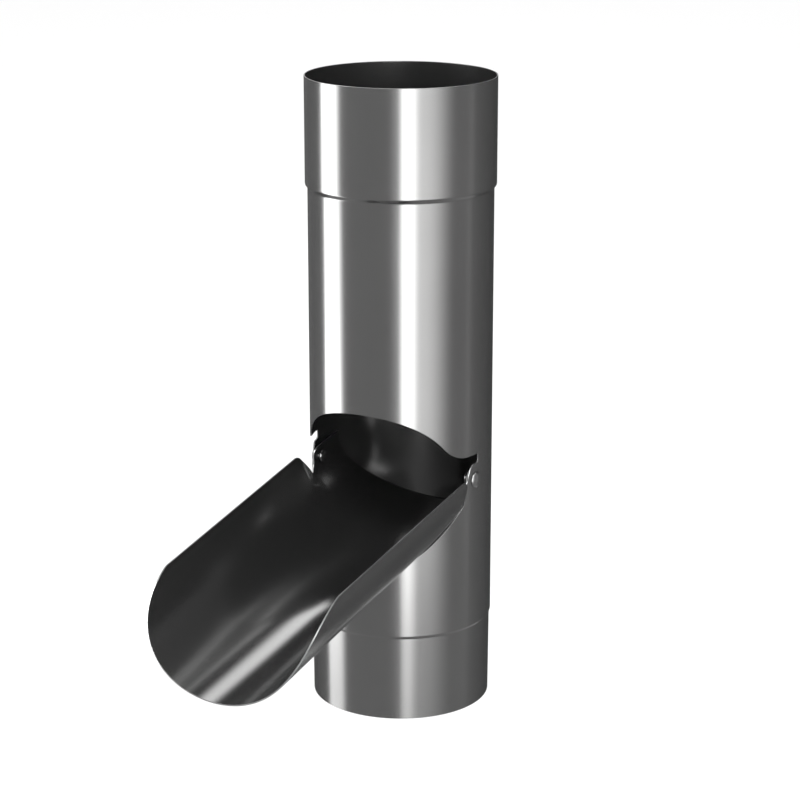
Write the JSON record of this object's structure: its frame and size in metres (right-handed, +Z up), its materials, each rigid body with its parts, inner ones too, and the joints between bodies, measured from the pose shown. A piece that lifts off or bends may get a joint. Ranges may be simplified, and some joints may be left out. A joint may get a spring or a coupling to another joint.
{
  "type": "rainwater diverter",
  "caption": "Length of round sheet-metal downpipe with a hinged chute that folds out of a window in its front and turns rainwater aside.",
  "frame": {"origin": "centre of the pipe's bottom rim, on the pipe's axis", "axes": "+Z up along the pipe's axis, -Y the way the chute points, +X to the right of someone who looks at the pipe's front"},
  "size_m": [0.0893, 0.217, 0.3013],
  "materials": {
    "pipe_sheet": "satin zinc-coated sheet",
    "chute_sheet": "satin zinc-coated sheet",
    "rivet_metal": "bright, smooth"
  },
  "bodies": {
    "pipe": {"pipe_body": "pipe_sheet", "rivet_left": "rivet_metal", "rivet_right": "rivet_metal"},
    "chute": {"chute": "chute_sheet"}
  },
  "joints": [
    {"name": "chute_fold", "type": "hinge", "parent": "pipe", "child": "chute", "pos_m": [0, -0.0068, 0.1143], "axis": [-1, 0, 0], "range_deg": [0, 88]}
  ]
}
